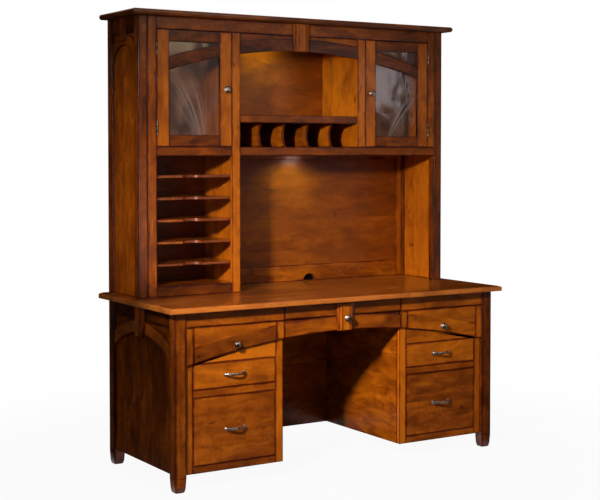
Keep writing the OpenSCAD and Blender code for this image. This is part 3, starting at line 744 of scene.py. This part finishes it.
def pull_post(foot):
    """Post of a pull: a flared foot of that radius, a waist and a bead."""
    lip = 1.6 * MM
    bead = 0.66 * foot
    bead_at = PULL_POST - 3.2 * MM
    return lathe([(0, 0), (foot, 0)] + arc(foot - lip, lip, lip, 0, 80, 4)
                 + [(0.72 * foot, 3.6 * MM), (0.58 * foot, 5.2 * MM), (0.62 * foot, 7.4 * MM)]
                 + arc(0, bead_at, bead, 8, 82, 6) + [(0, bead_at + bead)], 36)


def pull(node):
    """Bowed pull: a bar that thins to the middle, on a post at each end."""
    lo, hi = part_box(node)
    foot = (hi.z - lo.z) / 2
    half = (hi.x - lo.x) / 2 - foot
    mid = seat(node)
    end = PULL_POST - PULL_SINK
    bow = hi.y - lo.y - end - PULL_BAR
    points, radii = [], []
    steps = 28
    for i in range(steps + 1):
        # t goes from -1 at the left end to 1 at the right one, and the bar swells to both ends
        t = -1 + 2 * i / steps
        swell = abs(t) ** 2.5
        points.append(mid + Vector((t * half, -end - bow * (1 - t * t), 0)))
        radii.append(((0.86 + 0.14 * swell) * PULL_BAR, (1.1 + 0.4 * swell) * PULL_BAR))
    bm = tube(points, radii)
    for s in (-1, 1):
        merge(bm, pull_post(foot), mid + Vector((s * half, 0, 0)))
    place_fitting(bm, node, NICKEL)


def pane(node, material):
    """Glass with ground edges."""
    bm = mesh_of(node)
    bmesh.ops.bevel(bm, geom=bm.edges[:], offset=0.6 * MM, offset_type="OFFSET", segments=1,
                    profile=0.5, affect="EDGES", clamp_overlap=True)
    place(to_object(bm, node + "_piece", material), node)


def barrel(tall):
    """Barrel of a hinge: knuckles with fine grooves between them, and a turned tip at each end."""
    tip = [(0, 0), (0.55 * PIN, 0.2 * MM), (0.8 * PIN, 0.5 * TIP), (0.5 * PIN, TIP)]
    groove = 0.86 * PIN
    groove_half, groove_side = 0.15 * MM, 0.6 * MM
    step = (tall - 2 * TIP) / KNUCKLES
    profile = list(tip)
    for k in range(KNUCKLES):
        low = TIP + k * step
        high = low + step
        profile += [(groove, low + groove_half), (PIN, low + groove_side),
                    (PIN, high - groove_side), (groove, high - groove_half)]
    profile += [(r, tall - h) for r, h in reversed(tip)]
    return lathe(profile, 28, "z")


def hinges():
    """The doors' hinges, each a barrel on its leaf."""
    bm = bmesh.new()
    for lo, hi in solids_of("hinges"):
        right = lo.x > 0
        tall = hi.z - lo.z
        pin_x = lo.x + PIN if right else hi.x - PIN
        pin_y = lo.y + PIN
        leaf_x = hi.x - LEAF / 2 if right else lo.x + LEAF / 2
        merge(bm, barrel(tall), (pin_x, pin_y, lo.z))
        merge(bm, block((leaf_x, (pin_y + hi.y) / 2, (lo.z + hi.z) / 2),
                        (LEAF, hi.y - pin_y, tall - 2 * TIP), 0.25 * MM))
    place_fitting(bm, "hinges", STEEL)


def pucks():
    """Two puck lights: a white ring round a warm lens, which looks down. Gives the
    middles of their lower faces."""
    shell = bmesh.new()
    glow = bmesh.new()
    spots = []
    for lo, hi in solids_of("puck_lights"):
        centre = Vector(((lo.x + hi.x) / 2, (lo.y + hi.y) / 2, lo.z))
        r = (hi.x - lo.x) / 2
        tall = hi.z - lo.z
        round_over = 2.5 * MM
        merge(shell, lathe([(0.74 * r, 2.2 * MM), (0.76 * r, 0.4 * MM), (0.8 * r, 0)]
                           + arc(r - round_over, round_over, round_over, -90, 0, 5)
                           + [(r, 0.72 * tall), (0.94 * r, tall), (0, tall)], 56, "z"), centre)
        merge(glow, lathe([(0, 1.2 * MM), (0.3 * r, 1.3 * MM), (0.6 * r, 1.7 * MM),
                           (0.745 * r, 2.6 * MM), (0.745 * r, 4 * MM), (0, 4 * MM)], 56, "z"),
              centre)
        spots.append(centre)
    place_fitting(shell, "puck_lights", SHELL)
    face = to_object(glow, "puck_lens_piece", LENS, 40)
    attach(face, "case")
    return spots


for name in nodes_ending("_knob"):
    knob(name)
for name in nodes_ending("_pull"):
    pull(name)
pane("door_left_glass", LEFT_PANE)
pane("door_right_glass", RIGHT_PANE)
hinges()
puck_spots = pucks()


# Stage: camera, floor, world, cards and lamps
# the photograph's camera, as solved from points measured in the photograph
PHOTO_WIDTH, PHOTO_HEIGHT = 600, 500     # pixels
FOCAL_LENGTH = 1319.64                   # pixels
AXIS_ROW = 198                           # the row that the lens's axis meets
CAMERA_AT = (-3.21898, -5.08813, 1.39515)
CAMERA_DIP, CAMERA_TURN = 2.06, 32.09    # degrees down and to the right
SENSOR = 36                              # mm

AMBIENT = 0.06                           # strength of the world's light
FLOOR_REACH = 14                         # from the floor's middle to its edge
KEY = Vector((-2.27, -1.67, 1.88))
SCREEN_AT = 0.6                          # share of the way from the key to what a screen shades
PUCK_AHEAD, PUCK_BELOW = 40 * MM, 6 * MM  # a puck's lamp is this far before and under its lens
PUCK_POWERS = (1.1, 0.72)                # of the upper and of the lower light


def make_camera():
    data = bpy.data.cameras.new("camera")
    cam = link("camera", data)
    cam.location = CAMERA_AT
    cam.rotation_euler = (math.radians(90 - CAMERA_DIP), 0, math.radians(-CAMERA_TURN))
    data.sensor_width = SENSOR
    data.lens = SENSOR * FOCAL_LENGTH / PHOTO_WIDTH
    data.shift_y = -(PHOTO_HEIGHT / 2 - AXIS_ROW) / PHOTO_WIDTH
    bpy.context.scene.camera = cam


def make_floor():
    """Floor that looks white, with a little of the object's shadow round its middle."""
    g = Graph("studio_floor")
    path = g.node("LightPath").outputs
    seen = g.math("MAXIMUM", path["Is Camera Ray"], path["Is Glossy Ray"])
    here = g.here()
    away = g.node("VectorMath", {0: here}, operation="LENGTH").outputs["Value"]
    speck = g.noise(here, (40, 40, 40), 2)
    tint = g.ramp(speck, [(0.3, (0.60, 0.60, 0.60, 1)), (0.7, (0.62, 0.62, 0.62, 1))])
    lit = g.shader("BsdfDiffuse", {"Color": tint})
    white = g.shader("Emission", {"Color": (1, 1, 1, 1), "Strength": 1.0})
    share = g.math("MULTIPLY", seen, g.range(away, 0.8, 2.6, 0.94, 1.0))
    bm = bmesh.new()
    bmesh.ops.create_grid(bm, x_segments=8, y_segments=8, size=FLOOR_REACH)
    mesh = bpy.data.meshes.new("floor")
    bm.to_mesh(mesh)
    bm.free()
    mesh.materials.append(g.finish(g.blend(share, lit, white)))
    floor = link("floor", mesh)
    floor.location.z = -0.5 * MM


def make_world():
    """White to the camera, through glass and, behind the desk, in mirrors. Else a dim light."""
    g = Graph("studio", world=True)
    path = g.node("LightPath").outputs
    back = g.split(g.node("TexCoord").outputs["Generated"])[1]
    mirrored = g.math("MULTIPLY", path["Is Glossy Ray"], g.range(back, 0.1, 0.5, smooth=False))
    seen = g.math("MAXIMUM", path["Is Camera Ray"], mirrored)
    bright = g.math("MAXIMUM", seen, path["Is Transmission Ray"])
    dim = g.shader("Background", {"Color": (1.0, 0.98, 0.95, 1), "Strength": AMBIENT})
    white = g.shader("Background", {"Color": (1, 1, 1, 1)})
    bpy.context.scene.world = g.finish(g.blend(bright, dim, white))


def lamp(name, at, target, size, power, colour=(1, 1, 1), spread=180, shine=True):
    """Rectangular area lamp that looks at target. Without shine nothing mirrors it."""
    data = bpy.data.lights.new(name, "AREA")
    data.shape = "RECTANGLE"
    data.size, data.size_y = size
    data.energy = power
    data.color = colour
    data.spread = math.radians(spread)
    obj = link(name, data)
    obj.location = at
    obj.rotation_euler = (Vector(target) - Vector(at)).to_track_quat("-Z", "Y").to_euler()
    obj.visible_glossy = shine


def card(name, corners, glow=0.0, tint=(1.0, 1.0, 1.0), sides="both", shade=False, seen=False,
         soak=False):
    """Studio card: black or white for reflections alone, a screen that only shades, or a black
    card that is seen as painted shade, or that soaks up scattered light. sides tells which of its
    faces work."""
    mesh = bpy.data.meshes.new(name)
    mesh.from_pydata(corners, [], [(0, 1, 2, 3)])
    g = Graph(name)
    speck = g.noise(g.here(), (50, 50, 50), 2)
    if glow:
        white = g.ramp(speck, [(0.3, (*[0.97 * v for v in tint], 1)), (0.7, (*tint, 1))])
        shader = g.shader("Emission", {"Color": white, "Strength": glow})
    else:
        black = g.ramp(speck, [(0.3, (0.004, 0.004, 0.004, 1)), (0.7, (0.008, 0.008, 0.008, 1))])
        shader = g.shader("BsdfDiffuse", {"Color": black})
    if sides != "both":
        clear = g.shader("BsdfTransparent")
        front, back = (shader, clear) if sides == "front" else (clear, shader)
        shader = g.blend(g.node("NewGeometry").outputs["Backfacing"], front, back)
    mesh.materials.append(g.finish(shader))
    sheet = link(name, mesh)
    sheet.visible_camera = seen
    sheet.visible_diffuse = soak
    sheet.visible_glossy = not shade
    sheet.visible_shadow = shade
    sheet.visible_transmission = False


def upright(x, y, z):
    """Corners of an upright card from the first x and y to the second, between two heights."""
    return [(x[0], y[0], z[0]), (x[1], y[1], z[0]), (x[1], y[1], z[1]), (x[0], y[0], z[1])]


def flat(x, y, z=2 * MM):
    """Corners of a card that lies just over the floor."""
    return [(x[0], y[1], z), (x[1], y[1], z), (x[1], y[0], z), (x[0], y[0], z)]


def make_cards():
    # black flags, so that varnish and metal mirror no white beside, behind or before the desk
    card("flag_left", upright(x=(-5, -0.84), y=(0.5, 0.5), z=(0, 4)))
    card("flag_corner", upright(x=(-0.84, -0.68), y=(0.5, 0.5), z=(0.6, 2.05)), sides="front")
    card("flag_right", upright(x=(0.95, 5), y=(0.9, 0.9), z=(0, 4)))
    card("flag_floor", flat(x=(-5, 6), y=(-7, -0.38)))
    card("flag_beside", flat(x=(-5, -0.86), y=(-0.38, 0.9)))
    card("flag_kneehole", flat(x=(-0.34, 0.34), y=(-0.38, 0.33)), soak=True)
    # what the fronts and panes mirror of the room
    card("softbox", upright(x=(1.9, 3), y=(-3.2, -3.2), z=(1.7, 2.08)), glow=2.2,
         tint=(0.95, 0.93, 1.0))
    card("window", upright(x=(0.7, 1.25), y=(-3.4, -3.4), z=(2.09, 2.35)), glow=2.2,
         tint=(1.0, 0.8, 0.5))
    card("grey_card_left", upright(x=(0.3, 1.65), y=(-3.9, -3.67), z=(1.2, 3.4)), glow=0.22)
    card("grey_card", upright(x=(1.65, 2.72), y=(-3.67, -3.49), z=(1.2, 3.4)), glow=0.5)
    # small gleams, one by the lower puck light and one on the scooped shelves
    card("puck_glare", upright(x=(0.145, 0.215), y=(0.272, 0.272), z=(1.325, 1.365)), glow=6.0,
         tint=(0.8, 0.95, 1.0))
    card("scoop_glare", upright(x=(-0.88, -0.76), y=(-0.2, -0.2), z=(0.84, 1.34)), glow=9.0,
         tint=(1.0, 0.93, 0.88), sides="back")
    # a black card, seen by the camera, that paints the shade behind the cable notch
    card("notch_shade", upright(x=(0.204, 0.288), y=(0.3625, 0.3625), z=(0.74, 0.797)),
         sides="front", seen=True)


def screen(name, corners):
    """Card that keeps the key off the stretch of the desk between these corners."""
    card(name, [KEY.lerp(Vector(corner), SCREEN_AT) for corner in corners], shade=True)


def make_key():
    """The key stands left of the camera's view and is feathered to the right and down. Screens
    keep it off the left side of the desk and off the left end of the desktop."""
    lamp("key", KEY, target=(0.6, -0.1, 0.35), size=(0.18, 0.18), power=17,
         colour=(1.0, 0.95, 0.88), spread=70)
    screen("screen", [(-0.84, -0.335, 0.0), (-0.84, 0.34, 0.0), (-0.88, 0.36, 0.745),
                      (-0.88, -0.36, 0.745)])
    desk_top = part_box("desktop")[1].z
    for shape in (((-0.97, -0.12), (-0.72, -0.05), (-0.50, 0.09), (-0.97, 0.09)),
                  ((-0.97, 0.09), (-0.815, 0.09), (-0.815, 0.4), (-0.97, 0.4))):
        screen("top_screen", [(x, y, desk_top) for x, y in shape])


def make_lamps():
    lamp("fill", (0.6, -2.6, 2.9), target=(0.1, 0, 0.9), size=(1.6, 1.0), power=10)
    lamp("crown_light", (0.0, 0.2, 3.2), target=(0.0, 0.2, 2.0), size=(1.8, 0.32), power=2,
         spread=20, shine=False)
    lamp("left_back", (-3.2, 2.6, 2.2), target=(-0.8, 0.1, 1.3), size=(1.2, 1.2), power=10,
         colour=(1.0, 0.97, 0.94), shine=False)
    lamp("right_back", (1.6, 3.6, 2.0), target=(0.4, 0.3, 1.0), size=(2.0, 1.6), power=60,
         colour=(1.0, 0.98, 0.96), shine=False)
    for spot, power in zip(puck_spots, PUCK_POWERS):
        under = spot - Vector((0, PUCK_AHEAD, PUCK_BELOW))
        lamp("puck_glow", under, target=under - Vector((0, 0, 1)), size=(0.04, 0.04), power=power,
             colour=(0.68, 1.0, 0.48), spread=150, shine=False)


make_camera()
make_floor()
make_world()
make_cards()
make_key()
make_lamps()
bpy.context.scene.view_settings.view_transform = "Standard"
